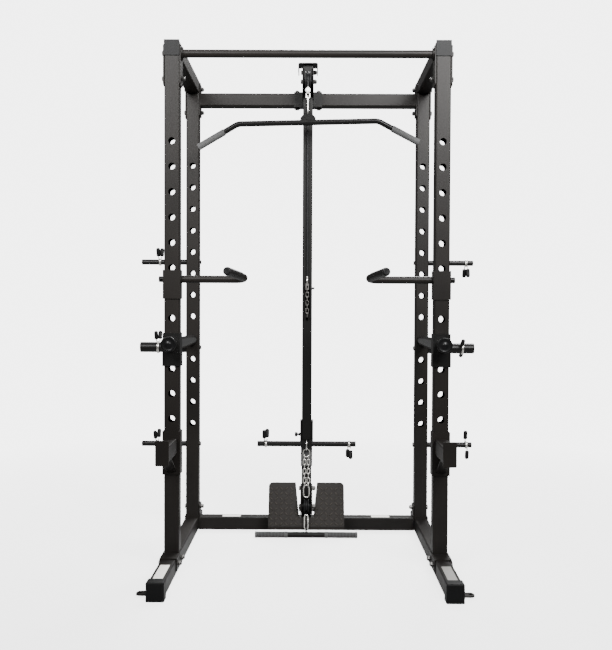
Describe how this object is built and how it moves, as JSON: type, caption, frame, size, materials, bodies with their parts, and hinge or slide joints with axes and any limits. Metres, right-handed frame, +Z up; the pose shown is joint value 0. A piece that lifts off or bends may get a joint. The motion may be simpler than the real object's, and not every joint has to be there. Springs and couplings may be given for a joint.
{
  "type": "power cage",
  "caption": "Four-post power cage with high and low cable pulleys, lat bar, dip handles, safety rods, spotter arms and plate storage pegs.",
  "frame": {"origin": "on the floor, in the middle of the footprint (the middle of the box in X and Y, its lowest point in Z)", "axes": "+X to the right as seen from the front, +Y to the back, where the pulley mast stands, +Z up"},
  "size_m": [1.564, 1.1, 2.161],
  "materials": {
    "frame_paint": "satin black powder coat",
    "satin_paint": "satin black powder coat, slightly glossier",
    "fasteners": "black-finished hex bolts and domed nuts",
    "chrome": "bright chrome plating",
    "black_plastic": "moulded black plastic",
    "liner_plastic": "slick black liner",
    "rubber": "matt black rubber",
    "ball_plastic": "white moulded ball",
    "cable_jacket": "black coated steel cable",
    "bright_steel": "bright zinc plated steel",
    "dark_steel": "dark plated steel",
    "collar_steel": "bright spring wire with black rubber handles"
  },
  "bodies": {
    "frame": {"left_base_rail": "frame_paint", "right_base_rail": "frame_paint", "tube_end_caps": "black_plastic", "upright_feet": "frame_paint", "left_front_upright": "frame_paint", "right_front_upright": "frame_paint", "left_rear_upright": "frame_paint", "right_rear_upright": "frame_paint", "left_top_rail": "frame_paint", "right_top_rail": "frame_paint", "corner_plates": "frame_paint", "top_crossmember": "frame_paint", "bottom_crossmember": "frame_paint", "pull_up_bar": "satin_paint", "frame_bolts": "fasteners", "weight_pegs": "satin_paint", "mast": "frame_paint", "mast_head_plates": "frame_paint", "low_pulley_bracket": "frame_paint", "foot_plate": "satin_paint", "stop_bumper": "rubber", "lift_strand": "cable_jacket", "cable_over_pulley": "cable_jacket", "pull_strand": "cable_jacket", "low_cable": "cable_jacket", "low_link": "bright_steel", "catch_guards": "satin_paint", "safety_tubes": "chrome", "left_dip_handle": "satin_paint", "right_dip_handle": "satin_paint"},
    "carriage": {"carriage_sleeve": "frame_paint", "carriage_liners": "liner_plastic", "loading_bar": "satin_paint", "carriage_riser": "frame_paint", "yoke_chain": "dark_steel", "drop_chain": "bright_steel"},
    "lat_hook": {"cable_stop": "ball_plastic"},
    "lat_bar": {"lat_links": "bright_steel", "lat_bar": "satin_paint", "lat_bar_grips": "rubber"},
    "top_pulley": {"top_pulley": "black_plastic"},
    "low_pulley": {"low_pulley": "black_plastic"},
    "row_bar": {"row_bar": "satin_paint", "row_bar_grips": "rubber"},
    "left_safety": {"left_safety_rod": "chrome", "left_catch_roller": "chrome"},
    "right_safety": {"right_safety_rod": "chrome", "right_catch_roller": "chrome"},
    "left_spotter": {"left_spotter_arm": "frame_paint"},
    "right_spotter": {"right_spotter_arm": "frame_paint"},
    "left_dip_pin": {"left_dip_pin": "satin_paint"},
    "right_dip_pin": {"right_dip_pin": "satin_paint"},
    "upper_left_collar": {"upper_left_collar": "collar_steel"},
    "upper_right_collar": {"upper_right_collar": "collar_steel"},
    "middle_left_collar": {"middle_left_collar": "collar_steel"},
    "middle_right_collar": {"middle_right_collar": "collar_steel"},
    "lower_left_collar": {"lower_left_collar": "collar_steel"},
    "lower_right_collar": {"lower_right_collar": "collar_steel"},
    "bar_left_collar": {"bar_left_collar": "collar_steel"},
    "bar_right_collar": {"bar_right_collar": "collar_steel"}
  },
  "joints": [
    {"name": "carriage_lift", "type": "slide", "parent": "frame", "child": "carriage", "axis": [0, 0, 1], "range_m": [0, 0.8], "deforming": ["lift_strand"]},
    {"name": "lat_pull", "type": "slide", "parent": "frame", "child": "lat_hook", "axis": [0, 0, -1], "range_m": [0, 0.8], "deforming": ["pull_strand"]},
    {"name": "lat_bar_swivel", "type": "hinge", "parent": "lat_hook", "child": "lat_bar", "pos_m": [0, 0.273, 2.01], "axis": [0, 0, 1], "range_deg": [-45, 45]},
    {"name": "top_pulley_spin", "type": "hinge", "parent": "frame", "child": "top_pulley", "pos_m": [0, 0.315, 2.065], "axis": [1, 0, 0], "range_deg": [-5, 1095]},
    {"name": "low_pulley_spin", "type": "hinge", "parent": "frame", "child": "low_pulley", "pos_m": [0, 0.329, 0.14], "axis": [1, 0, 0], "continuous": true},
    {"name": "row_bar_turn", "type": "hinge", "parent": "frame", "child": "row_bar", "pos_m": [0, 0.306, 0.014], "axis": [0, 0, 1], "range_deg": [-15, 15]},
    {"name": "left_safety_slide", "type": "slide", "parent": "frame", "child": "left_safety", "axis": [0, -1, 0], "range_m": [0, 0.65]},
    {"name": "left_spotter_slide", "type": "slide", "parent": "frame", "child": "left_spotter", "axis": [0, -1, 0], "range_m": [0, 0.12]},
    {"name": "left_dip_pin_slide", "type": "slide", "parent": "frame", "child": "left_dip_pin", "axis": [-1, 0, 0], "range_m": [0, 0.1]},
    {"name": "right_safety_slide", "type": "slide", "parent": "frame", "child": "right_safety", "axis": [0, -1, 0], "range_m": [0, 0.65]},
    {"name": "right_spotter_slide", "type": "slide", "parent": "frame", "child": "right_spotter", "axis": [0, -1, 0], "range_m": [0, 0.12]},
    {"name": "right_dip_pin_slide", "type": "slide", "parent": "frame", "child": "right_dip_pin", "axis": [1, 0, 0], "range_m": [0, 0.1]},
    {"name": "upper_left_collar_slide", "type": "slide", "parent": "frame", "child": "upper_left_collar", "axis": [-1, 0, 0], "range_m": [-0.08, 0.1]},
    {"name": "upper_right_collar_slide", "type": "slide", "parent": "frame", "child": "upper_right_collar", "axis": [1, 0, 0], "range_m": [-0.08, 0.06]},
    {"name": "middle_left_collar_slide", "type": "slide", "parent": "frame", "child": "middle_left_collar", "axis": [-1, 0, 0], "range_m": [-0.08, 0.1]},
    {"name": "middle_right_collar_slide", "type": "slide", "parent": "frame", "child": "middle_right_collar", "axis": [1, 0, 0], "range_m": [-0.08, 0.08]},
    {"name": "lower_left_collar_slide", "type": "slide", "parent": "frame", "child": "lower_left_collar", "axis": [-1, 0, 0], "range_m": [-0.08, 0.1]},
    {"name": "lower_right_collar_slide", "type": "slide", "parent": "frame", "child": "lower_right_collar", "axis": [1, 0, 0], "range_m": [-0.08, 0.06]},
    {"name": "bar_left_collar_slide", "type": "slide", "parent": "carriage", "child": "bar_left_collar", "axis": [-1, 0, 0], "range_m": [-0.08, 0.06]},
    {"name": "bar_right_collar_slide", "type": "slide", "parent": "carriage", "child": "bar_right_collar", "axis": [1, 0, 0], "range_m": [-0.08, 0.06]}
  ],
  "couplings": [
    {"joint": "lat_pull", "follows": "carriage_lift", "ratio": 1},
    {"joint": "top_pulley_spin", "follows": "carriage_lift", "rad_per_m": 23.809}
  ]
}
